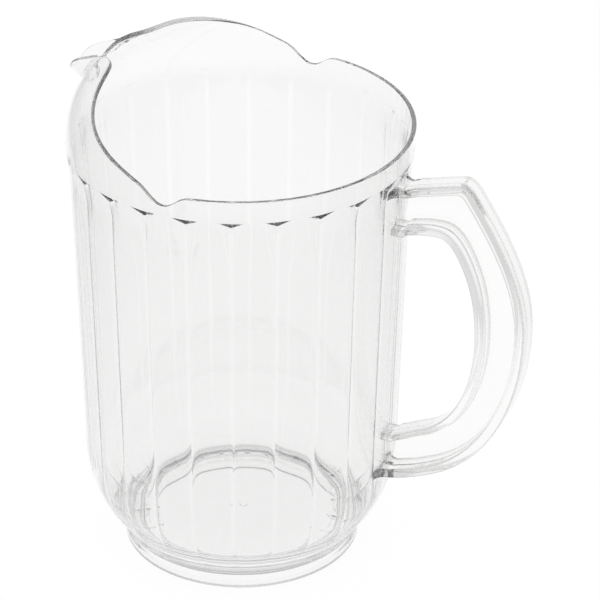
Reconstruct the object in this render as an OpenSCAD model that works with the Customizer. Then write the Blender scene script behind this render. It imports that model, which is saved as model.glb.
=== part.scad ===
// Clear moulded beer pitcher: fluted vessel, welded I-section handle, foot ring.
// Millimetres, Z up. Origin at the centre of the foot's underside.
// +X points to the handle, -X to the pouring beak, the side lips are at +Y and -Y.

/* [Vessel wall] */
// Outside radius of the wall at the top of the heel
wall_r = 61.5; // [58:0.5:66]
// Outward lean of the wall, mm per mm of height
wall_lean = 0.03; // [0:0.005:0.05]
// Wall thickness between the crests
wall_t = 1.8; // [1.4:0.1:3]
// Height of the heel's top, where the straight wall starts
heel_z = 44; // [38:1:60]
// Height of the rim on the handle side
rim_z = 180.8; // [165:0.2:200]
// Height of the plain band below the rim, where the crests end
band_h = 8.8; // [7:0.2:20]
// Extra radius of the rim band over the wall
band_flare = 1; // [0:0.1:2]
// Height over which the wall flares out to the band
flare_len = 10; // [4:1:20]
// Height of the rounded crown on the rim edge
rim_crown = 0.4; // [0:0.1:0.8]

/* [Flutes] */
// Number of inside crests, each between two hollow flutes
crest_count = 24; // [24]
// Height of a crest along the wall, over the hollow of a flute
crest_h = 0.15; // [0.1:0.05:0.4]
// Extra height of a crest at its top end
crest_top_h = 0.66; // [0.3:0.02:1]
// Length over which a crest grows to its top end
crest_rise_len = 22; // [16:1:30]
// Height of the sloping ledge that ends a crest
ledge_h = 2.1; // [1:0.1:3]

/* [Heel and floor] */
// Thickness of the floor
floor_t = 2.8; // [2:0.1:4]
// Height of the floor's upper face
floor_z = 11.2; // [10:0.2:14]
// Radius of the flat part of the floor
floor_r = 37.7; // [34:0.1:38.4]
// Slope of the heel's inner face where it meets the floor
floor_slope = 0.146; // [0.1:0.002:0.25]
// Height at which the heel's inner face starts to curve inward
inner_heel_z = 48.4; // [45:0.2:56]
// Radius of the gate mark under the floor
gate_r = 1.6; // [1:0.1:3]
// Depth of the gate mark
gate_h = 0.4; // [0.2:0.1:0.8]

/* [Foot ring] */
// Outside radius of the foot ring
foot_r = 46.5; // [42:0.5:48]
// Radial thickness of the foot ring
foot_t = 4.5; // [3:0.5:6]
// Height of the foot ring
foot_h = 6.4; // [4:0.2:7]
// Rounding of the foot ring's lower edges
foot_round = 1; // [0.4:0.1:1.4]

/* [Hood and beak] */
// Rise of the hood over the rim
hood_rise = 22.9; // [15:0.5:28]
// Inward lean of the hood at the spout
hood_lean = 19; // [10:0.5:24]
// Angle off the spout axis where the rise fades out
hood_angle = 85; // [75:1:85]
// Angle off the spout axis where the lean fades out
lean_angle = 73; // [60:1:80]
// Angle off the spout axis where the hood's flat top ends
brow_angle = 15; // [10:1:20]
// Share of the rise at which the wall turns inward
curl = 0.75; // [0.5:0.05:0.85]
// Reach of the beak beyond the hood's edge
beak_out = 23.8; // [18:0.1:27]
// Half angle of the beak
beak_half_angle = 8.6; // [7:0.2:11]
// Drop of the beak's tip below the hood's edge
beak_drop = 14.1; // [8:0.5:16]
// Half angle over which the beak's edge drops
droop_half_angle = 7.75; // [6:0.25:10]

/* [Side lips] */
// Depth of each side lip in the rim
lip_depth = 4.7; // [2:0.2:6]
// Half angle of each side lip
lip_half_angle = 5.2; // [3:0.2:7]

/* [Handle] */
// Width of the outer flange
flange_w = 10.2; // [8:0.2:14]
// Thickness of the outer flange
flange_t = 4; // [2.5:0.1:5]
// Width of the inner flange
inner_w = 9.4; // [7:0.2:13]
// Thickness of the inner flange
inner_t = 3.2; // [2:0.1:4]
// Thickness of the web between the flanges
web_t = 2.2; // [1.6:0.1:4]
// Width of a flange at its root on the wall
root_w = 19; // [14:0.5:24]
// Fillet radius in plan where a flange widens to its root
root_fillet = 4.4; // [2:0.2:5]
// Gap left for the weld film between root and wall
weld_gap = 0.05; // [0.02:0.01:0.1]

/* [Handle outline] */
// Reach of the grip's back from the wall's foot
grip_reach = 57.9; // [52:0.5:66]
// Reach of the finger gap from the wall's foot
gap_reach = 37.8; // [28:0.5:40]
// Drop of the knuckle, the handle's top corner, below the rim
grip_drop = 5.3; // [4:0.1:20]
// Height of the lower arm's underside at the wall
grip_low_z = 42; // [41:0.5:50]
// Height of the upper arm at the wall, from its top to the finger gap
upper_arm_h = 21; // [16:0.5:26]
// Height of the lower arm at the wall, from the finger gap to its underside
lower_arm_h = 19.4; // [14:0.5:24]

/* [Hidden] */

full_turn = 360;
half_turn = 180;
lip_angle = 90;
pitch = full_turn / crest_count;
coarse = pitch / 4;
fine = pitch / 12;
fine_span = 1.5 * pitch;

band_z = rim_z - band_h;
floor_low = floor_z - floor_t;
foot_in = foot_r - foot_t;
plan_h = rim_z + hood_rise;

// How sharply the beak, its drooping edge and the side lips fall away with angle
beak_power = 4;
droop_power = 2.2;
lip_power = 2.3;
crown_shares = [0.15, 0.5, 0.85];
// How sharp a crest is along the wall, and where its broad top end starts across a flute
ridge_power = 4;
broad_from = 0.33;
ledge_step = 0.1;

// Pull points of the heel's curves, as shares of the heel's own width and height
heel_low_shares = [0.167, 0.186];
heel_high_share = 0.415;
lining_low_share = 0.47;
lining_high_shares = [0.98, 0.183];

// Handle outline, as shares of the grip's reach and height
knuckle_in_shares = [0.496, 1];
knuckle_out_shares = [0.617, 0.975];
back_shares = [1, 0.563];
elbow_shares = [0.368, 0.045];
upper_arm_share = 0.956;
// Finger gap, as shares of its own reach and height
gap_in_shares = [0.587, 1.038];
gap_out_shares = [0.81, 0.946];
gap_back_shares = [1, 0.566];
gap_elbow_shares = [0.423, 0.066];
link_pull_share = 0.35;
arm_bury_share = 3;

heel_rows = 8;
hood_rows = 8;
band_rows = 3;
bend_rows = 10;
probe_share = 0.002;
probe_angle = 0.1;
edge_n = 96;
exact_n = 128;

function clamp(u) = min(max(u, 0), 1);
function ease(u) = let(c = clamp(u)) c * c * (3 - 2 * c);
function unit(v) = v / norm(v);
function bend(p, q, r, s, t) =
    pow(1 - t, 3) * p + 3 * t * pow(1 - t, 2) * q + 3 * t * t * (1 - t) * r + pow(t, 3) * s;
function curve(p, q, r, s) = [for (i = [1:bend_rows]) bend(p, q, r, s, i / bend_rows)];
function spin(p, phi) = [p.x * cos(phi), p.x * sin(phi), p.y];

// Angle off the spout axis, 0 at the beak and 180 at the handle
function off_axis(phi) = let(o = abs(phi - half_turn)) o > half_turn ? full_turn - o : o;

// Outside radius of the wall at a height above the heel
function wall_at(z) = wall_r + wall_lean * (z - heel_z)
    + band_flare * ease((z - band_z + flare_len) / flare_len);

// Rim edge by angle off the spout axis
function lip_cut(o) = lip_depth * exp(-pow(abs(o - lip_angle) / lip_half_angle, lip_power));
function hood_up(o) = hood_rise * cos(90 * clamp((o - brow_angle) / (hood_angle - brow_angle)));
function beak_low(o) = beak_drop * exp(-pow(o / droop_half_angle, droop_power));
function edge_z(o) = rim_z + hood_up(o) - beak_low(o) - lip_cut(o);
function lean_in(o) = hood_lean / 2 * (1 + cos(180 * clamp((o - brow_angle) / (lean_angle - brow_angle))));
function beak_at(o) = beak_out / (1 + pow(o / beak_half_angle, beak_power));
function edge_r(o) = wall_at(edge_z(o)) - lean_in(o) + beak_at(o);

// Outer face above the band's foot: t runs from 0 at the band's foot to 1 at the edge
function shell_rz(o, t) = let(
    top = [edge_r(o), edge_z(o)],
    turn_z = band_z + curl * (top.y - band_z),
    low = [wall_at(band_z), band_z],
    turn = [wall_at(turn_z), turn_z])
    pow(1 - t, 2) * low + 2 * t * (1 - t) * turn + t * t * top;
function shell(phi, t) = spin(shell_rz(off_axis(phi), t), phi);
function along(phi, t) = unit(shell(phi, t + probe_share) - shell(phi, t - probe_share));
function across(phi, t) = unit(shell(phi + probe_angle, t) - shell(phi - probe_angle, t));
function facing(phi, t) = unit(cross(across(phi, t), along(phi, t)));
function lining(phi, t) = shell(phi, t) - wall_t * facing(phi, t);
function crown(phi, s) = shell(phi, 1) - s * wall_t * facing(phi, 1)
    + rim_crown * 4 * s * (1 - s) * along(phi, 1);

// Place between two flutes: 0 in the middle of a flute, 1 on the crest
function crest_share(phi) = abs((phi / pitch) - round(phi / pitch)) * 2;
// Height of a crest over its flute: a fine ridge low down, a broad one up to the ledge
function crest(phi, z) = let(u = crest_share(phi), broad = clamp((z - band_z + crest_rise_len) / crest_rise_len))
    crest_h * pow(u, ridge_power) + crest_top_h * broad * clamp((u - broad_from) / (1 - broad_from));

// Heel curves, outside and inside, as radius and height
heel_foot = [foot_r, foot_h];
heel_top = [wall_r, heel_z];
heel_run = heel_top - heel_foot;
heel_low = heel_foot + [heel_run.x * heel_low_shares.x, heel_run.y * heel_low_shares.y];
heel_high = [wall_r, foot_h + heel_run.y * heel_high_share];
function heel(t) = bend(heel_foot, heel_low, heel_high, heel_top, t);
lining_foot = [floor_r, floor_z];
lining_top = [wall_at(inner_heel_z) - wall_t, inner_heel_z];
lining_run = lining_top - lining_foot;
lining_low = lining_foot + [lining_run.x * lining_low_share, lining_run.x * lining_low_share * floor_slope];
lining_high = lining_foot + [lining_run.x * lining_high_shares.x, lining_run.y * lining_high_shares.y];
function inner_heel(t) = bend(lining_foot, lining_low, lining_high, lining_top, t);
// The same with a crest raised square to it; on the floor the crest runs out along its slope
function raised_heel(t, lift) = t == 0 ? [floor_r - lift / floor_slope, floor_z]
    : let(way = unit(inner_heel(t) - inner_heel(t - probe_share))) inner_heel(t) + lift * [-way.y, way.x];

// One column of points, from the underside over the rim to the floor
function column(phi) = concat(
    [spin([gate_r, floor_low - gate_h], phi)],
    [spin([gate_r + gate_h, floor_low], phi)],
    [spin([foot_in - (floor_low - foot_h), floor_low], phi)],
    [spin([foot_in, foot_h], phi)],
    [for (i = [0:heel_rows]) spin(heel(i / heel_rows), phi)],
    [for (i = [0:band_rows - 1])
        let(z = band_z - flare_len * (1 - i / band_rows)) spin([wall_at(z), z], phi)],
    [for (i = [0:hood_rows]) shell(phi, i / hood_rows)],
    [for (s = crown_shares) crown(phi, s)],
    [for (i = [hood_rows:-1:0]) lining(phi, i / hood_rows)],
    [for (i = [0:band_rows])
        let(drop = ledge_step + ledge_h * crest(phi, band_z) / (crest_h + crest_top_h),
            z = band_z - drop - (crest_rise_len - drop) * i / band_rows)
        spin([wall_at(z) - wall_t - crest(phi, z + drop * (1 - i / band_rows)), z], phi)],
    [for (i = [heel_rows:-1:0])
        let(t = i / heel_rows)
        spin(raised_heel(t, crest(phi, heel_z) * (2 - t)), phi)]);

phis = concat(
    [for (a = [-fine_span:fine:fine_span]) half_turn + a],
    [for (a = [fine_span + coarse:coarse:full_turn - fine_span - coarse]) half_turn + a]);

module vessel() {
    cols = [for (p = phis) column(p % full_turn)];
    n = len(cols);
    m = len(cols[0]);
    low = n * m;
    points = concat([for (c = cols) each c], [[0, 0, floor_low - gate_h], [0, 0, floor_z]]);
    sides = [for (i = [0:n - 1], j = [0:m - 2]) each let(
        a = i * m + j,
        b = ((i + 1) % n) * m + j)
        [[a, a + 1, b + 1], [a, b + 1, b]]];
    under = [for (i = [0:n - 1]) [low, i * m, ((i + 1) % n) * m]];
    bed = [for (i = [0:n - 1]) [low + 1, ((i + 1) % n) * m + m - 1, i * m + m - 1]];
    color([0.9, 0.92, 0.93, 0.4])
    polyhedron(points = points, faces = concat(sides, under, bed));
}

// Handle knots, each a point in the XZ plane and a heading in degrees
function knot(base, span, shares, turn) =
    [base.x + span.x * shares.x, base.y + span.y * shares.y, turn];
function knot_at(k) = [k.x, k.y];
function heading(k) = [cos(k.z), sin(k.z)];
function link(j, k) = let(pull = link_pull_share * norm(knot_at(k) - knot_at(j)))
    curve(knot_at(j), knot_at(j) + pull * heading(j), knot_at(k) - pull * heading(k), knot_at(k));
function chain(knots) = [for (i = [1:len(knots) - 1]) each link(knots[i - 1], knots[i])];

grip_base = [wall_r, grip_low_z];
grip_span = [grip_reach, rim_z - grip_drop - grip_low_z];
arm_x = wall_r - wall_t * arm_bury_share;
upper_z = grip_base.y + grip_span.y * upper_arm_share;
back_z = grip_base.y + grip_span.y * back_shares.y;
outer_knots = [
    [arm_x, upper_z, 0],
    knot(grip_base, grip_span, knuckle_in_shares, 13),
    knot(grip_base, grip_span, knuckle_out_shares, -56),
    knot(grip_base, grip_span, back_shares, -90),
    knot(grip_base, grip_span, elbow_shares, -156),
    [arm_x, grip_low_z, half_turn]];

gap_base = [wall_r, grip_low_z + lower_arm_h];
gap_span = [gap_reach, upper_z - upper_arm_h - gap_base.y];
gap_knots = [
    [arm_x, gap_base.y + gap_span.y, 0],
    knot(gap_base, gap_span, gap_in_shares, -4),
    knot(gap_base, gap_span, gap_out_shares, -62),
    knot(gap_base, gap_span, gap_back_shares, -90),
    knot(gap_base, gap_span, gap_elbow_shares, -160),
    [arm_x, gap_base.y, half_turn]];

module outer_plan() {
    polygon(concat([[arm_x, upper_z]], chain(outer_knots)));
}

module gap_plan() {
    polygon(concat([[arm_x, gap_base.y + gap_span.y]], chain(gap_knots)));
}

// Room left of the arm's start, so that a flange never closes across the arm
module start_side() {
    translate([arm_x - flange_t, 0])
    square([flange_t, plan_h]);
}

module outer_flange_plan() {
    difference() {
        outer_plan();
        offset(delta = -flange_t)
        union() {
            outer_plan();
            start_side();
        }
    }
}

module inner_flange_plan() {
    intersection() {
        outer_plan();
        difference() {
            offset(delta = inner_t) gap_plan();
            gap_plan();
        }
    }
}

module web_plan() {
    difference() {
        outer_plan();
        gap_plan();
    }
}

// Stands a plan in the XZ plane with a width along Y
module stand(width) {
    rotate([90, 0, 0])
    translate([0, 0, -width / 2])
    linear_extrude(width)
    children();
}

// Outer flange seen from above: narrow along the grip, filleted out to its root on a wall
module flange_width(wall) {
    root_x = wall + root_fillet;
    translate([arm_x - flange_t, -flange_w / 2])
    square([plan_h, flange_w]);
    difference() {
        translate([arm_x - flange_t, -root_w / 2])
        square([root_x - arm_x + flange_t, root_w]);
        for (side = [-1, 1])
            translate([root_x, side * (flange_w / 2 + root_fillet)])
            circle(r = root_fillet, $fn = edge_n);
    }
}

// The outer flange between two heights, its root widened on the wall at its arm
module outer_flange(low, high, arm_z) {
    intersection() {
        stand(root_w) outer_flange_plan();
        translate([0, 0, low])
        linear_extrude(high - low)
        flange_width(wall_at(arm_z));
    }
}

// The vessel's outer wall as a solid, grown by the weld film, that cuts the roots
module wall_core() {
    rotate_extrude($fn = exact_n)
    polygon(concat(
        [[0, foot_h]],
        [for (i = [0:heel_rows]) heel(i / heel_rows) + [weld_gap, 0]],
        [for (i = [0:band_rows]) let(z = band_z - flare_len * (1 - i / band_rows)) [wall_at(z) + weld_gap, z]],
        [[wall_at(rim_z) + weld_gap, rim_z]],
        [[0, rim_z]]));
}

module handle() {
    color([0.88, 0.9, 0.92, 0.4])
    difference() {
        union() {
            outer_flange(0, back_z, grip_low_z);
            outer_flange(back_z, plan_h, upper_z);
            stand(inner_w) inner_flange_plan();
            stand(web_t) web_plan();
        }
        wall_core();
    }
}

module foot_ring() {
    color([0.88, 0.9, 0.92, 0.4])
    rotate_extrude($fn = exact_n)
    difference() {
        translate([foot_in, 0])
        square([foot_t, foot_h]);
        translate([foot_in, 0])
        edge_cut(1);
        translate([foot_r, 0])
        edge_cut(-1);
    }
}

// Corner left outside a rounded lower edge, to the given side
module edge_cut(side) {
    difference() {
        translate([side > 0 ? 0 : -foot_round, 0])
        square([foot_round, foot_round]);
        translate([side * foot_round, foot_round])
        circle(r = foot_round, $fn = edge_n);
    }
}

vessel();
handle();
foot_ring();
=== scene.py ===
import math

import bpy
import numpy as np
from mathutils import Matrix, Vector


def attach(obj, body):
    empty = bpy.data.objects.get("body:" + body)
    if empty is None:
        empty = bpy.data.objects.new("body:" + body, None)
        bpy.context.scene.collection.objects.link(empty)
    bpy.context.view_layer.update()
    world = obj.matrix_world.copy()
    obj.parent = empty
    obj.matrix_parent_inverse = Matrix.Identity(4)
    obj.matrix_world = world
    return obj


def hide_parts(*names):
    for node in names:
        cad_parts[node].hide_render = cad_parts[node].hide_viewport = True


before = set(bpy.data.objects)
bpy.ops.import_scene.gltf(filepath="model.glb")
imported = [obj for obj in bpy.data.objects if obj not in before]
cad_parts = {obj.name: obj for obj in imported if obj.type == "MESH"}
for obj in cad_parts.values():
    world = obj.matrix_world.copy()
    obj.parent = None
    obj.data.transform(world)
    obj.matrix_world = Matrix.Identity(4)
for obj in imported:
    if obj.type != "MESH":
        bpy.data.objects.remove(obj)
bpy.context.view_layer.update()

MM = 0.001

# --- Vessel, in millimetres and degrees: wall, rim band, floor and foot, as in the part's source ---
WALL_R, WALL_LEAN, WALL_T = 61.5, 0.03, 1.8
HEEL_Z, RIM_Z, BAND_H = 44.0, 180.8, 8.8
BAND_Z = RIM_Z - BAND_H
BAND_FLARE, FLARE_LEN, RIM_CROWN = 1.0, 10.0, 0.38
FLOOR_T, FLOOR_Z, FLOOR_R = 2.8, 11.2, 37.7
FLOOR_LOW = FLOOR_Z - FLOOR_T
FLOOR_SLOPE, INNER_HEEL_Z = 0.146, 48.4
GATE_R, GATE_H = 1.6, 0.4
UNDERSIDE_R, UNDERSIDE_ROUND = 20.0, 0.3
FOOT_R, FOOT_T, FOOT_H, FOOT_ROUND = 46.5, 4.5, 6.4, 1.0
FOOT_IN = FOOT_R - FOOT_T
# The foot's seat under the heel: its rounding, the middle of that as shares, and how far pieces sink in
SEAT_ROUND, SEAT_ROUND_SHARES, WELD = 0.4, (0.3, 0.25), 0.03
# Knots of the heel's two faces, as shares of their run outward and of their rise
HEEL_SHARES = ((0, 0), (0.167, 0.186), (1, 0.415), (1, 1))
INNER_HEEL_LOW_SHARE, INNER_HEEL_HIGH_SHARES = 0.47, (0.98, 0.183)

# Crests between the flutes: a low rounded ridge, a broad one up to the ledge, and a fine edge
FLUTES = 24
PITCH = 360.0 / FLUTES
CREST_H, CREST_POWER = 0.15, 4
CREST_TOP_H, CREST_TOP_FROM, CREST_RISE_LEN, LEDGE_H = 0.66, 0.33, 22.0, 2.1
CREST_EDGE_H, CREST_EDGE_POWER = 0.14, 12
CREST_EDGE_BELOW, CREST_EDGE_FADE = 2.0, 4.0
CREST_EDGE_HEEL_SHARE, CREST_EDGE_HEEL_FADE = 0.2, 40.0
# Towards the floor a crest grows to this many times its height, and runs out over this share of the heel
CREST_FLOOR_GAIN, CREST_END_SHARE = 2.0, 0.2

# Hood, side lips and beak
HOOD_RISE, HOOD_LEAN, HOOD_ANGLE, LEAN_ANGLE, BROW_ANGLE, CURL = 22.9, 19.0, 85.0, 73.0, 15.0, 0.75
LIP_DEPTH, LIP_HALF_ANGLE, LIP_ANGLE, LIP_POWER = 4.7, 5.2, 90.0, 2.3
BEAK_TIP_R, BEAK_TIP_Z, BEAK_ROOT, BEAK_REACH_POWER = 71.1, 189.6, 0.3, 1.3
BEAK_FOOT_WIDTH, BEAK_THINNING = 0.4, 0.45
# Outward pull across the beak: a flat middle that dips a little, and flanks that run into the hood
BEAK_FLAT, BEAK_FLAT_ANGLE, BEAK_FLAT_POWER, BEAK_FLAT_DIP = 0.56, 7.75, 11, 0.18
BEAK_FLANK_ANGLE, BEAK_FLANK_POWER = 13.3, 2.4
# Downward pull across the beak: most of it near the keel, and the rest further out
BEAK_SAG, BEAK_SAG_ANGLE, BEAK_SIDE_ANGLE, BEAK_SAG_POWER = 0.87, 7.4, 15.0, 3

# --- Handle, in millimetres and degrees ---
FLANGE_W, FLANGE_T, INNER_W, INNER_T, WEB_T = 10.2, 4.0, 9.4, 3.2, 2.2
HANDLE_ROUND, FACE_SHARE = 0.8, 0.6
ROOT_FILLET, ROOT_SPACE = 4.4, 0.5
ROOT_LEADS = (0.0, 0.12, 0.4, 0.9, 1.6, 2.5, 3.4, ROOT_FILLET)
GRIP_REACH, GAP_REACH, GRIP_DROP, GRIP_LOW_Z = 57.9, 37.8, 5.3, 42.0
GRIP_ROOT_SHARE, UPPER_ARM_H, LOWER_ARM_H = 0.956, 21.0, 19.4
# Knots of the grip's outer line and of its finger gap: shares of reach and height, and a heading
GRIP_KNOTS = ((0.496, 1, 13), (0.617, 0.975, -56), (1, 0.563, -90), (0.368, 0.045, -156))
GAP_KNOTS = ((0.587, 1.038, -4), (0.81, 0.946, -62), (1, 0.566, -90), (0.423, 0.066, -160))
GRIP_PULL, GRIP_STEPS = 0.35, 14

# --- How finely the meshes are cut ---
# Columns in half a flute, as shares of the way to its crest
PLAIN_COLUMNS = [0, 0.2, 0.4, 0.58, 0.72, 0.82, 0.88, 0.92, 0.95, 0.975, 0.99]
BEAK_COLUMNS = [0.06 * i for i in range(15)] + [0.88, 0.91, 0.94, 0.96, 0.975, 0.99]
BEAK_COLUMNS_REACH = 1.5 * PITCH
HEEL_ROWS, WALL_ROWS, FLARE_ROWS, HOOD_ROWS = 20, 9, 8, 24
CREST_RISE_ROWS, CREST_ROWS, INNER_HEEL_ROWS = 9, 9, 27
GATE_ROWS, FLOOR_ROWS = (0.5, 0.9, 1.0), (0.995, 0.97, 0.8, 0.5, 0.2)
CROWN_TURNS = (12, 26, 44, 66, 90, 114, 136, 154, 168)
LEDGE_ROWS, ROW_GAP = (0.03, 0.12, 0.35, 0.65, 0.88, 0.97, 1.0), 0.01
FOOT_COLUMNS, FOOT_ROUND_STEPS, HANDLE_ROUND_STEPS = 360, 6, 4
# Small steps that slopes are taken over
HOOD_STEP, ANGLE_STEP, HEEL_STEP = 0.002, 0.05, 0.01

# --- Painted shade at tight corners of the mouldings, point by point: 0 none, 1 all that there is ---
SEAT_SHADE_H = 0.8
BEAK_RIM_SHADE, BEAK_RIM_GAIN = 0.5, 4.0
OUTER_CORNER_SHADE = (0.1, 0.9, 1.0, 0.7, 0.0)
INNER_CORNER_SHADE = (0.1, 0.7, 0.9, 0.7, 0.0)
BACK_SHADE, WEB_SHADE = (0.0, 0.15, 0.2, 0.15, 0.0), (0.0, 0.2, 0.3, 0.2, 0.0)

# --- Clear plastic, with lengths and heights in metres ---
PLASTIC_IOR, BODY_GREY, BODY_DENSITY = 1.57, 0.75, 5.0
RIPPLE_SCALE, RIPPLE_DETAIL, RIPPLE_STRENGTH, RIPPLE_DEPTH = 38.0, 1.0, 0.01, 0.0004
HAZE_SCALE, HAZE_DETAIL, HAZE_SEED, HAZE_GAIN = 420.0, 3.0, 7.0, 0.01
ROUGH_LEAST, ROUGH_HAZE = 0.004, 0.008
# How far the painted shade at tight corners darkens the plastic's colour
CORNER_PAINTED_SHADE = 0.34
# Painted highlight, lighter bands on the crests: where across a flute, and how they start at the heel and end
# at the rim band
CREST_HIGHLIGHT, CREST_HIGHLIGHT_LOW, CREST_HIGHLIGHT_HIGH = (0.84, 0.95), (0.02, 0.05), (0.166, 0.169)
CREST_HIGHLIGHT_AT_HEEL = 0.3
# Painted shade at a slant, darker where a face is seen edge-on: from which slant, and how little is left of it
# at the heel and at the hood
SLANT, SLANT_LOW, SLANT_HIGH = (0.35, 0.85), (0.02, 0.06), (0.166, 0.178)
SLANT_AT_HEEL, SLANT_AT_HOOD = 0.2, 0.15
# Heights over which the painted light on the heel ends and that on the hood starts
PAINTED_LIGHT_HEEL, PAINTED_LIGHT_HOOD = (0.012, 0.042), (0.168, 0.178)
VESSEL_TINT, FOOT_TINT, HANDLE_TINT = (0.925, 0.925, 0.923), (0.96, 0.96, 0.958), (0.96, 0.96, 0.957)

# --- Studio, in metres: floor, sky, and a level direction along which both sides are a little darker, as painted shade on the floor and a dimmer sky ---
SIDEWAYS = (0.9094, 0.4159, 0.0)
STAGE_HALF, STAGE_DROP = 4.0, 0.0002
PAPER_GREY, SHADOW_GREY, FLOOR_GLOW = 0.85, 0.06, 0.955
FLOOR_SIDES, FLOOR_SIDE_PAINTED_SHADE = (0.0135, 0.12), 0.27
SKY_STOPS = ((0.0, 0.9), (0.34, 0.92), (0.7, 0.85), (0.8, 0.58), (1.0, 0.5))
SKY_SIDE_FALL = 0.25
WHITE = (1, 1, 1, 1)
LIGHT_BOUNCES = 72

# --- Camera, at the photograph's angle ---
LENS, SENSOR, NEAR_CLIP, FAR_CLIP = 223.46, 36.0, 0.01, 30.0
CAMERA_RIGHT, CAMERA_BACK = Vector((0.9094, 0.4160, 0.0)), Vector((0.3623, -0.7921, 0.4912))
CAMERA_ROLL, CAMERA_DISTANCE = -0.28, 1.4458
CAMERA_AIM = Vector((0.02082, 0.00952, 0.10343))


def clamp(u):
    return np.clip(u, 0.0, 1.0)


def ease(u):
    """Runs smoothly from 0 to 1."""
    c = clamp(u)
    return c * c * (3 - 2 * c)


def steps(n):
    """Shares from 0 to 1 in n equal steps."""
    return [i / n for i in range(n + 1)]


def bend(p, q, r, s, t):
    """Point at t on the curve that starts at p and ends at s, drawn towards q and r."""
    return [(1 - t) ** 3 * a + 3 * t * (1 - t) ** 2 * b + 3 * t * t * (1 - t) * c + t ** 3 * d
            for a, b, c, d in zip(p, q, r, s)]


def unit(v):
    return v / np.linalg.norm(v, axis=-1, keepdims=True)


def ring(r, z, phi):
    """Points at a radius and height, one for each column angle."""
    a = np.radians(phi)
    return np.stack([r * np.cos(a), r * np.sin(a), z + 0 * a], -1)


# --- Vessel: wall, hood and beak ---
def off_axis(phi):
    """Angle away from the beak's middle."""
    o = np.abs(phi - 180.0)
    return np.where(o > 180.0, 360.0 - o, o)


def wall_at(z):
    """Radius of the wall's outer face at a height, with its draft and the flare under the rim band."""
    flare = BAND_FLARE * ease((z - BAND_Z + FLARE_LEN) / FLARE_LEN)
    return WALL_R + WALL_LEAN * (z - HEEL_Z) + flare


def hood_rz(o, t):
    """Outer face of the hood without its beak, from t = 0 at the band's foot to 1 at the edge."""
    lip = LIP_DEPTH * np.exp(-(np.abs(o - LIP_ANGLE) / LIP_HALF_ANGLE) ** LIP_POWER)
    to_side = clamp((o - BROW_ANGLE) / (HOOD_ANGLE - BROW_ANGLE))
    to_upright = clamp((o - BROW_ANGLE) / (LEAN_ANGLE - BROW_ANGLE))
    rise = HOOD_RISE * np.cos(np.radians(90 * to_side))
    lean = HOOD_LEAN / 2 * (1 + np.cos(np.radians(180 * to_upright)))
    top_z = RIM_Z + rise - lip
    turn_z = BAND_Z + CURL * (top_z - BAND_Z)
    a, b, c = (1 - t) ** 2, 2 * t * (1 - t), t * t
    return (a * wall_at(BAND_Z) + b * wall_at(turn_z) + c * (wall_at(top_z) - lean),
            a * BAND_Z + b * turn_z + c * top_z)


def beak_rise(t):
    """0 up to the beak's root, then rising evenly to 1 at the edge of the hood."""
    return max(t - BEAK_ROOT, 0) / (1 - BEAK_ROOT)


def beak_share(o, t):
    """How far the beak has pulled the hood out and down: 0 none, 1 at its keel."""
    u = o / (BEAK_FOOT_WIDTH + (1 - BEAK_FOOT_WIDTH) * beak_rise(t))
    v = u / BEAK_FLAT_ANGLE
    flat = (1 - BEAK_FLAT_DIP * clamp(v) ** 2) / (1 + v ** BEAK_FLAT_POWER)
    flank = np.exp(-(u / BEAK_FLANK_ANGLE) ** BEAK_FLANK_POWER)
    keel = np.exp(-(u / BEAK_SAG_ANGLE) ** BEAK_SAG_POWER)
    side = np.exp(-(u / BEAK_SIDE_ANGLE) ** BEAK_SAG_POWER)
    return BEAK_FLAT * flat + (1 - BEAK_FLAT) * flank, BEAK_SAG * keel + (1 - BEAK_SAG) * side


def shell(phi, t):
    """Outer face above the band's foot, hood and beak, from t = 0 there to 1 at the edge."""
    o = off_axis(phi)
    r, z = hood_rz(o, t)
    if t > BEAK_ROOT:
        root_r, root_z = hood_rz(0.0, BEAK_ROOT)
        keel_r, keel_z = hood_rz(0.0, t)
        reach = beak_rise(t) ** BEAK_REACH_POWER
        out, down = beak_share(o, t)
        r = r + out * (root_r + (BEAK_TIP_R - root_r) * reach - keel_r)
        z = z + down * (root_z + (BEAK_TIP_Z - root_z) * reach - keel_z)
    return ring(r, z, phi)


def shell_frame(phi, t):
    """Directions along the outer face, upward, and square to it, outward."""
    up = unit(shell(phi, t + HOOD_STEP) - shell(phi, t - HOOD_STEP))
    side = unit(shell(phi + ANGLE_STEP, t) - shell(phi - ANGLE_STEP, t))
    return up, unit(np.cross(side, up))


def thickness(phi, t):
    """Wall thickness, less in the beak."""
    beak = beak_share(off_axis(phi), t)[0] * clamp(t / BEAK_ROOT - 1)
    return (WALL_T * (1 - BEAK_THINNING * beak))[:, None]


def lining(phi, t):
    """Inner face of the hood and beak."""
    return shell(phi, t) - thickness(phi, t) * shell_frame(phi, t)[1]


def crown(phi, turn):
    """The rounded rim edge, from turn = 0 outside to 180 inside."""
    up, out = shell_frame(phi, 1.0)
    share = (1 - math.cos(math.radians(turn))) / 2
    lift = RIM_CROWN * math.sin(math.radians(turn))
    return shell(phi, 1.0) - share * thickness(phi, 1.0) * out + lift * up


# --- Vessel: flutes and heel ---
def crest(phi, z):
    """Extra thickness of the wall at a column angle: 0 in the middle of a flute, most on its crest."""
    u = np.abs(phi / PITCH - np.round(phi / PITCH)) * 2
    broad = clamp((z - BAND_Z + CREST_RISE_LEN) / CREST_RISE_LEN)
    edge = clamp((BAND_Z - CREST_EDGE_BELOW - z) / CREST_EDGE_FADE)
    edge = edge * clamp((z - HEEL_Z) / CREST_EDGE_HEEL_FADE + CREST_EDGE_HEEL_SHARE)
    return (CREST_H * u ** CREST_POWER + CREST_EDGE_H * edge * u ** CREST_EDGE_POWER
            + CREST_TOP_H * broad * clamp((u - CREST_TOP_FROM) / (1 - CREST_TOP_FROM)))


def heel(t):
    """Outer face of the heel, from the foot's seat at t = 0 to the wall at 1."""
    run_r, run_z = WALL_R - FOOT_R, HEEL_Z - FOOT_H
    return bend(*((FOOT_R + run_r * a, FOOT_H + run_z * b) for a, b in HEEL_SHARES), t)


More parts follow.
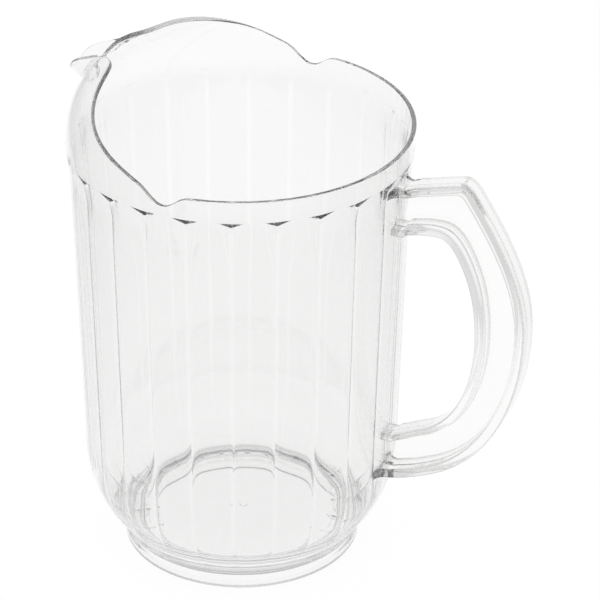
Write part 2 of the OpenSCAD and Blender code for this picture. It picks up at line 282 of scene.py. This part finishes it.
def inner_heel(t, phi):
    """Inner face of the heel with its crests raised square to it; it meets the floor at an angle."""
    top_r = wall_at(INNER_HEEL_Z) - WALL_T
    run_r, run_z = top_r - FLOOR_R, INNER_HEEL_Z - FLOOR_Z
    low_run = run_r * INNER_HEEL_LOW_SHARE
    high_out, high_up = INNER_HEEL_HIGH_SHARES
    knots = ((FLOOR_R, FLOOR_Z), (FLOOR_R + low_run, FLOOR_Z + low_run * FLOOR_SLOPE),
             (FLOOR_R + run_r * high_out, FLOOR_Z + run_z * high_up), (top_r, INNER_HEEL_Z))
    r, z = bend(*knots, t)
    r2, z2 = bend(*knots, t + HEEL_STEP)
    length = math.hypot(r2 - r, z2 - z)
    lift = crest(phi, HEEL_Z) * (CREST_FLOOR_GAIN - (CREST_FLOOR_GAIN - 1) * t)
    r, z = r - lift * (z2 - z) / length, z + lift * (r2 - r) / length
    # near the floor each crest runs on down its slope until it meets the floor
    sink = (z - FLOOR_Z) * (1 - ease(t / CREST_END_SHARE))
    return r - sink / FLOOR_SLOPE, z - sink


def column_angles():
    """Column angles round the vessel: closest at each crest, and along the beak."""
    angles = []
    for k in range(FLUTES):
        middle = k * PITCH
        shares = BEAK_COLUMNS if abs(middle - 180) < BEAK_COLUMNS_REACH else PLAIN_COLUMNS
        half = [middle + PITCH / 2 * u for u in shares]
        angles += [2 * middle - a for a in half[:0:-1]] + half + [middle + PITCH / 2]
    return np.array(angles)


def outer_rows(phi):
    """Rings of points from the gate under the floor, up the outer face, to the rim."""
    slope = FLOOR_LOW - FOOT_H
    rows = [ring(GATE_R * s, FLOOR_LOW - GATE_H, phi) for s in GATE_ROWS]
    rows += [ring(r, z, phi) for r, z in (
        (GATE_R + GATE_H, FLOOR_LOW), (GATE_R + 1.5 * GATE_H, FLOOR_LOW), (UNDERSIDE_R, FLOOR_LOW),
        (FOOT_IN - slope - 2 * UNDERSIDE_ROUND, FLOOR_LOW),
        (FOOT_IN - slope, FLOOR_LOW - UNDERSIDE_ROUND / 2),
        (FOOT_IN - UNDERSIDE_ROUND / 2, FOOT_H + UNDERSIDE_ROUND),
        (FOOT_IN, FOOT_H), (FOOT_IN + UNDERSIDE_ROUND, FOOT_H), (FOOT_R - UNDERSIDE_ROUND, FOOT_H))]
    rows += [ring(*heel(t), phi) for t in steps(HEEL_ROWS)]
    flare_z = BAND_Z - FLARE_LEN
    rows += [ring(wall_at(z), z, phi) for z in np.linspace(HEEL_Z, flare_z, WALL_ROWS)[1:]]
    rows += [ring(wall_at(z), z, phi) for z in np.linspace(flare_z, BAND_Z, FLARE_ROWS)[1:-1]]
    return rows + [shell(phi, t) for t in steps(HOOD_ROWS)]


def inner_rows(phi):
    """Rings of points from the rim, down the lining, ledges and crests, to the floor's middle."""
    rows = [lining(phi, t) for t in steps(HOOD_ROWS)[::-1]]
    full = crest(phi, BAND_Z)
    drop = LEDGE_H * full / (CREST_H + CREST_TOP_H)
    # a small gap keeps the rows of a ledge apart in the middle of a flute, where it has no height
    for i, down in enumerate(LEDGE_ROWS, 1):
        z = BAND_Z - drop * down - ROW_GAP * i
        rows.append(ring(wall_at(z) - WALL_T - full * down, z, phi))
    ledge_z = BAND_Z - ROW_GAP * (len(LEDGE_ROWS) + 1)
    for s in steps(CREST_RISE_ROWS)[1:]:
        z = ledge_z - drop + (drop - CREST_RISE_LEN) * s
        rows.append(ring(wall_at(z) - WALL_T - crest(phi, z + drop * (1 - s)), z, phi))
    for z in np.linspace(BAND_Z - CREST_RISE_LEN, INNER_HEEL_Z, CREST_ROWS)[1:-1]:
        rows.append(ring(wall_at(z) - WALL_T - crest(phi, z), z, phi))
    rows += [ring(*inner_heel(t, phi), phi) for t in steps(INNER_HEEL_ROWS)[::-1]]
    edge = FLOOR_R - CREST_FLOOR_GAIN * crest(phi, HEEL_Z) / FLOOR_SLOPE
    return rows + [ring(edge * s, FLOOR_Z, phi) for s in FLOOR_ROWS]


# --- Meshes ---
def mesh_piece(name, points, faces, shade):
    """A named mesh from points in millimetres, shaded smooth, on the part's only body.

    shade gives, point by point, how much shade is painted at a tight corner of the moulding, kept in its edge
    attribute."""
    mesh = bpy.data.meshes.new(name)
    mesh.from_pydata([tuple(p) for p in points * MM], [], faces)
    mesh.validate()
    mesh.shade_smooth()
    edge = mesh.attributes.new("edge", "FLOAT", "POINT")
    edge.data.foreach_set("value", np.asarray(shade, np.float32))
    piece = bpy.data.objects.new(name, mesh)
    bpy.context.scene.collection.objects.link(piece)
    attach(piece, "root")
    return piece


def tube_faces(rows, cols, closed_rows=False):
    """Quads between rings of points, each ring closed on itself."""
    last = rows if closed_rows else rows - 1
    return [(i * cols + j, i * cols + (j + 1) % cols,
             (i + 1) % rows * cols + (j + 1) % cols, (i + 1) % rows * cols + j)
            for i in range(last) for j in range(cols)]


def build_vessel():
    """Cup, hood and beak: one skin from the gate, over the rim, to the middle of the floor."""
    phi = column_angles()
    outside, crowns = outer_rows(phi), [crown(phi, turn) for turn in CROWN_TURNS]
    rows = outside + crowns + inner_rows(phi)
    n, m = len(rows), len(phi)
    points = np.concatenate(rows + [np.array([[0, 0, FLOOR_LOW - GATE_H], [0, 0, FLOOR_Z]])])
    faces = tube_faces(n, m)
    gate, floor, last = n * m, n * m + 1, (n - 1) * m
    faces += [(gate, (j + 1) % m, j) for j in range(m)]
    faces += [(floor, last + j, last + (j + 1) % m) for j in range(m)]
    # painted shade where the heel sits on the foot, and along the beak's rim
    reach = np.hypot(points[:, 0], points[:, 1])
    shade = clamp((FOOT_H + SEAT_SHADE_H - points[:, 2]) / SEAT_SHADE_H) * (reach > FOOT_R - SEAT_ROUND)
    beak = BEAK_RIM_SHADE * clamp(BEAK_RIM_GAIN * beak_share(off_axis(phi), 1.0)[0])
    rim = len(outside) * m
    shade[rim:rim + len(crowns) * m] = np.tile(beak, len(crowns))
    piece = mesh_piece("vessel_moulding", points, faces, shade)
    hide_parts("vessel")
    return piece


def build_foot():
    """The foot ring, a closed lathe profile with rounded edges."""
    r, profile = FOOT_ROUND, []
    for x, first in ((FOOT_IN + r, 180), (FOOT_R - r, 270)):
        for turn in (math.radians(first + 90 * s) for s in steps(FOOT_ROUND_STEPS)):
            profile.append((x + r * math.cos(turn), r + r * math.sin(turn)))
    top = FOOT_H + WELD
    inward, downward = (SEAT_ROUND * share for share in SEAT_ROUND_SHARES)
    profile += [(FOOT_R, top - SEAT_ROUND), (FOOT_R - inward, top - downward), (FOOT_R - SEAT_ROUND, top),
                (FOOT_IN + SEAT_ROUND, top), (FOOT_IN + inward, top - downward), (FOOT_IN, top - SEAT_ROUND)]
    phi = np.linspace(0, 360, FOOT_COLUMNS, endpoint=False)
    points = np.concatenate([ring(x, z, phi) for x, z in profile])
    faces = tube_faces(len(profile), len(phi), closed_rows=True)
    piece = mesh_piece("foot_ring_moulding", points, faces, np.zeros(len(points)))
    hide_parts("foot_ring")
    return piece


# --- Handle: one I-shaped section swept along the grip ---
def grip_line(low_z, height, reach, upper_z, knots):
    """A smooth line from the wall at the upper root, round the grip, to the wall at the lower one.

    Each knot has its shares of the reach and the height, and its heading in degrees."""
    points = [(WALL_R, upper_z, 0.0)]
    points += [(WALL_R + reach * a, low_z + height * b, heading) for a, b, heading in knots]
    points.append((WALL_R, low_z, 180.0))
    line = []
    for (x0, z0, heading0), (x1, z1, heading1) in zip(points, points[1:]):
        pull = GRIP_PULL * math.hypot(x1 - x0, z1 - z0)
        a, b = math.radians(heading0), math.radians(heading1)
        leave = (x0 + pull * math.cos(a), z0 + pull * math.sin(a))
        arrive = (x1 - pull * math.cos(b), z1 - pull * math.sin(b))
        line += [bend((x0, z0), leave, arrive, (x1, z1), s) for s in steps(GRIP_STEPS)[:-1]]
    return np.array(line + [[WALL_R, low_z]])


def normals_right(line):
    """Unit normals to the right of the way along a line, which for the grip is inward."""
    d = unit(np.gradient(line, axis=0))
    return np.stack([d[:, 1], -d[:, 0]], 1)


def flange(width, thick, corner_shade, flare):
    """Half of a flange, from the middle of its face, round its edge and back, to the web.

    Each point has its depth below the face, its half width, its share of the root's flare and its painted
    shade."""
    half, web, r = width / 2, WEB_T / 2, HANDLE_ROUND
    turns = [math.radians(90 * s) for s in steps(HANDLE_ROUND_STEPS)]
    side = [(0.0, 0.0, 0.0, 0.0), (0.0, FACE_SHARE * half, FACE_SHARE * flare, 0.0)]
    side += [(r * (1 - math.cos(a)), half - r * (1 - math.sin(a)), flare, shade)
             for a, shade in zip(turns, corner_shade)]
    side += [(thick - r * (1 - math.sin(a)), half - r * (1 - math.cos(a)), flare, shade)
             for a, shade in zip(turns, BACK_SHADE)]
    side += [(thick + r * (1 - math.cos(a)), web + r * (1 - math.sin(a)), 0.0, shade)
             for a, shade in zip(turns, WEB_SHADE)]
    return side


def build_handle():
    """The grip between its two roots on the wall."""
    height = RIM_Z - GRIP_DROP - GRIP_LOW_Z
    upper_z = GRIP_LOW_Z + height * GRIP_ROOT_SHARE
    gap_low, gap_top = GRIP_LOW_Z + LOWER_ARM_H, upper_z - UPPER_ARM_H
    outer = grip_line(GRIP_LOW_Z, height, GRIP_REACH, upper_z, GRIP_KNOTS)
    gap = grip_line(gap_low, gap_top - gap_low, GAP_REACH, gap_top, GAP_KNOTS)
    outer_side = flange(FLANGE_W, FLANGE_T, OUTER_CORNER_SHADE, 1.0)
    inner_side = flange(INNER_W, INNER_T, INNER_CORNER_SHADE, 0.0)[::-1]
    sweep = ((outer, normals_right(outer), outer_side), (gap, -normals_right(gap), inner_side))

    def section(i, flare=0.0):
        half = []
        for line, inward, side in sweep:
            for depth, y, flare_share, _ in side:
                x, z = line[i] + inward[i] * depth
                half.append((x, y + flare_share * flare, z))
        return np.array(half + [(x, -y, z) for x, y, z in half[-2:0:-1]])

    def root_section(i, lead):
        """A section that follows the round wall at a distance, flared by the root's fillet."""
        points = section(i, ROOT_FILLET - math.sqrt(ROOT_FILLET ** 2 - (ROOT_FILLET - lead) ** 2))
        wall = wall_at(points[:, 2]) - WELD
        points[:, 0] = np.sqrt(wall ** 2 - points[:, 1] ** 2) + lead
        return points

    clear = np.minimum(*(line[:, 0] - wall_at(line[:, 1]) for line in (outer, gap)))
    free = [i for i in range(len(outer)) if clear[i] >= ROOT_FILLET + ROOT_SPACE]
    rings = [root_section(len(outer) - 1, lead) for lead in ROOT_LEADS]
    rings += [section(i) for i in free[::-1]]
    rings += [root_section(0, lead) for lead in ROOT_LEADS[::-1]]

    cols, half_n = len(rings[0]), len(outer_side) + len(inner_side)
    faces = tube_faces(len(rings), cols)
    # end caps, as strips across the section, of which the first and last are triangles
    for start, flip in ((0, True), ((len(rings) - 1) * cols, False)):
        for k in range(half_n - 1):
            strip = [start + j % cols for j in (k, k + 1, cols - k - 1, cols - k)]
            strip = tuple(dict.fromkeys(strip))
            faces.append(strip[::-1] if flip else strip)
    # painted shade round the corners of the section, point by point
    shade = [point[3] for point in outer_side + inner_side]
    shade += shade[-2:0:-1]
    piece = mesh_piece("handle_moulding", np.concatenate(rings), faces, shade * len(rings))
    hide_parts("handle")
    return piece


# --- Shader maths as Python expressions ---
class Wire:
    """A shader socket with Python's operators: each adds a Math node."""

    def __init__(self, finish, socket):
        self.finish, self.socket = finish, socket

    def __add__(self, other):
        return self.finish.math("ADD", self, other)

    def __sub__(self, other):
        return self.finish.math("SUBTRACT", self, other)

    def __rsub__(self, other):
        return self.finish.math("SUBTRACT", other, self)

    def __mul__(self, other):
        return self.finish.math("MULTIPLY", self, other)

    __radd__, __rmul__ = __add__, __mul__


class Finish:
    """The node tree of a material or of the world."""

    def __init__(self, owner):
        owner.use_nodes = True
        self.tree = owner.node_tree
        self.tree.nodes.clear()

    def node(self, kind, settings=None, *values, out=0, **named):
        """Adds a node: its settings first, then the values or links of its sockets. Returns its output.

        A ramp's stops are pairs of a place and a grey."""
        made = self.tree.nodes.new("ShaderNode" + kind)
        for name, value in (settings or {}).items():
            if name == "stops":
                ramp = made.color_ramp
                while len(ramp.elements) > 1:
                    ramp.elements.remove(ramp.elements[-1])
                for i, (place, grey) in enumerate(value):
                    stop = ramp.elements[0] if i == 0 else ramp.elements.new(place)
                    stop.position, stop.color = place, (grey, grey, grey, 1)
            else:
                setattr(made, name, value)
        sockets = list(zip(made.inputs, values))
        sockets += [(made.inputs[name.replace("_", " ")], value) for name, value in named.items()]
        for socket, value in sockets:
            if isinstance(value, Wire):
                self.tree.links.new(value.socket, socket)
            elif value is not None:
                socket.default_value = value
        return Wire(self, made.outputs[out]) if len(made.outputs) else None

    def math(self, operation, *values):
        return self.node("Math", {"operation": operation}, *values)

    def fade(self, value, start, end, low, high):
        """Runs smoothly from low to high while the value runs from start to end."""
        return self.node("MapRange", {"interpolation_type": "SMOOTHSTEP"}, value, start, end, low, high)

    def grey(self, level):
        """A colour from one number."""
        return self.node("CombineXYZ", None, level, level, level)

    def aside(self, place):
        """Square of the distance to either side of the studio's middle."""
        along = self.node("VectorMath", {"operation": "DOT_PRODUCT"}, place, SIDEWAYS, out="Value")
        return along * along

    def ray_is(self, first, *others):
        """1 for rays of the given kinds and 0 for all others."""
        found = self.node("LightPath", out="Is %s Ray" % first)
        for kind in others:
            found = self.math("MAXIMUM", found, self.node("LightPath", out="Is %s Ray" % kind))
        return found


def clear_plastic(name, tint, seed, slant_shade, crest_gain=0.0, end_gain=0.0):
    """Clear polished plastic with faint mould ripples and a light wear haze.

    Faces seen at a slant, and tight corners, get painted shade. If asked, the crests (crest_gain) get a
    painted highlight and the two ends of the cup (end_gain) get painted light."""
    material = bpy.data.materials.new(name)
    f = Finish(material)
    place = f.node("TexCoord", out="Object")
    four_d = {"noise_dimensions": "4D"}
    ripple = f.node("TexNoise", four_d, Vector=place, W=seed, Scale=RIPPLE_SCALE, Detail=RIPPLE_DETAIL)
    haze = f.node("TexNoise", four_d, Vector=place, W=seed + HAZE_SEED, Scale=HAZE_SCALE, Detail=HAZE_DETAIL)
    x, y, z = (f.node("SeparateXYZ", None, place, out=axis) for axis in "XYZ")
    # 0 in the middle of a flute, 1 on the crest between two flutes
    across = f.math("PINGPONG", f.math("ARCTAN2", y, x) * (FLUTES / math.tau), 0.5) * 2.0
    # painted highlight: lighter bands along the crests
    band = f.fade(across, *CREST_HIGHLIGHT, 0.0, crest_gain)
    band = band * f.fade(z, *CREST_HIGHLIGHT_LOW, CREST_HIGHLIGHT_AT_HEEL, 1.0)
    band = band * f.fade(z, *CREST_HIGHLIGHT_HIGH, 1.0, 0.0)
    # painted shade: darker where a face is seen at a slant
    painted_slant_shade = f.fade(f.node("LayerWeight", out="Facing"), *SLANT, 0.0, slant_shade)
    painted_slant_shade = painted_slant_shade * f.fade(z, *SLANT_LOW, SLANT_AT_HEEL, 1.0)
    painted_slant_shade = painted_slant_shade * f.fade(z, *SLANT_HIGH, 1.0, SLANT_AT_HOOD)
    # painted light: the heel and the hood of the cup lighter
    ends = f.fade(z, *PAINTED_LIGHT_HEEL, end_gain, 0.0) + f.fade(z, *PAINTED_LIGHT_HOOD, 0.0, end_gain)
    # painted shade at tight corners, read from the edge attribute
    corner = f.node("Attribute", {"attribute_name": "edge"}, out="Fac")
    # random wear haze, with the painted light and shade added to it
    haze_and_painted_light = haze * HAZE_GAIN + band + ends - painted_slant_shade - corner * CORNER_PAINTED_SHADE
    colour = f.node("VectorMath", {"operation": "ADD"}, f.grey(haze_and_painted_light), tint)
    bump = f.node("Bump", Strength=RIPPLE_STRENGTH, Distance=RIPPLE_DEPTH, Height=ripple)
    plastic = f.node("BsdfPrincipled", Base_Color=colour, Roughness=ROUGH_LEAST + ROUGH_HAZE * haze,
                     IOR=PLASTIC_IOR, Transmission_Weight=1.0, Normal=bump)
    body = f.node("VolumeAbsorption", Color=(BODY_GREY, BODY_GREY, BODY_GREY, 1), Density=BODY_DENSITY)
    f.node("OutputMaterial", Surface=plastic, Volume=body)
    return material


def build_floor():
    """A wide pale floor that shows white behind the pitcher and keeps its shadow."""
    half = STAGE_HALF
    mesh = bpy.data.meshes.new("floor")
    corners = [(-half, -half, 0), (half, -half, 0), (half, half, 0), (-half, half, 0)]
    mesh.from_pydata(corners, [], [(0, 1, 2, 3)])
    floor = bpy.data.objects.new("floor", mesh)
    floor.location.z = -STAGE_DROP
    bpy.context.scene.collection.objects.link(floor)
    material = bpy.data.materials.new("pale_floor")
    f = Finish(material)
    paper = f.node("BsdfDiffuse", Color=(PAPER_GREY, PAPER_GREY, PAPER_GREY, 1))
    shadow = f.node("BsdfDiffuse", Color=(SHADOW_GREY, SHADOW_GREY, SHADOW_GREY, 1))
    aside = f.aside(f.node("NewGeometry", out="Position"))
    # painted shade: the floor's glow dims towards both sides
    glow = f.grey(FLOOR_GLOW - f.fade(aside, *FLOOR_SIDES, 0.0, FLOOR_SIDE_PAINTED_SHADE))
    white = f.node("AddShader", None, shadow, f.node("Emission", Color=glow, Strength=1.0))
    seen = f.ray_is("Camera", "Transmission", "Glossy")
    f.node("OutputMaterial", Surface=f.node("MixShader", None, seen, paper, white))
    mesh.materials.append(material)


def build_sky():
    """A white sky that lights the object evenly, and is graded where the plastic shows it."""
    world = bpy.data.worlds.new("studio")
    bpy.context.scene.world = world
    f = Finish(world)
    way = f.node("TexCoord", out="Generated")
    shade = f.node("ValToRGB", {"stops": SKY_STOPS}, f.node("SeparateXYZ", None, way, out="Z"))
    sides = 1.0 - f.aside(way) * SKY_SIDE_FALL
    shade = f.node("VectorMath", {"operation": "SCALE"}, shade, Scale=sides)
    # a Mix node keeps its colour sockets last, after five for other kinds of value
    others = [None] * 5
    sky = f.node("Mix", {"data_type": "RGBA"}, f.ray_is("Glossy", "Transmission"), *others, WHITE, shade, out=2)
    f.node("OutputWorld", Surface=f.node("Background", None, sky, 1.0))


def build_camera():
    """The camera, turned about its own axis by the photograph's slight roll."""
    data = bpy.data.cameras.new("camera")
    data.lens, data.sensor_width = LENS, SENSOR
    data.clip_start, data.clip_end = NEAR_CLIP, FAR_CLIP
    camera = bpy.data.objects.new("camera", data)
    bpy.context.scene.collection.objects.link(camera)
    level, upright = CAMERA_RIGHT, CAMERA_BACK.cross(CAMERA_RIGHT)
    c, s = math.cos(math.radians(CAMERA_ROLL)), math.sin(math.radians(CAMERA_ROLL))
    right, up = level * c - upright * s, level * s + upright * c
    place = CAMERA_AIM + CAMERA_BACK * CAMERA_DISTANCE
    turn = Matrix((right, up, CAMERA_BACK)).transposed().to_4x4()
    camera.matrix_world = Matrix.Translation(place) @ turn
    bpy.context.scene.camera = camera


vessel, foot, handle = build_vessel(), build_foot(), build_handle()
vessel.data.materials.append(clear_plastic(
    "vessel_plastic", VESSEL_TINT, seed=1.0, slant_shade=0.085, crest_gain=0.03, end_gain=0.03))
foot.data.materials.append(clear_plastic("foot_plastic", FOOT_TINT, seed=4.0, slant_shade=0.08))
handle.data.materials.append(clear_plastic("handle_plastic", HANDLE_TINT, seed=9.0, slant_shade=0.08))
build_floor()
build_sky()
build_camera()
scene = bpy.context.scene
scene.view_settings.view_transform = "Standard"
scene.cycles.max_bounces = scene.cycles.glossy_bounces = scene.cycles.transmission_bounces = LIGHT_BOUNCES
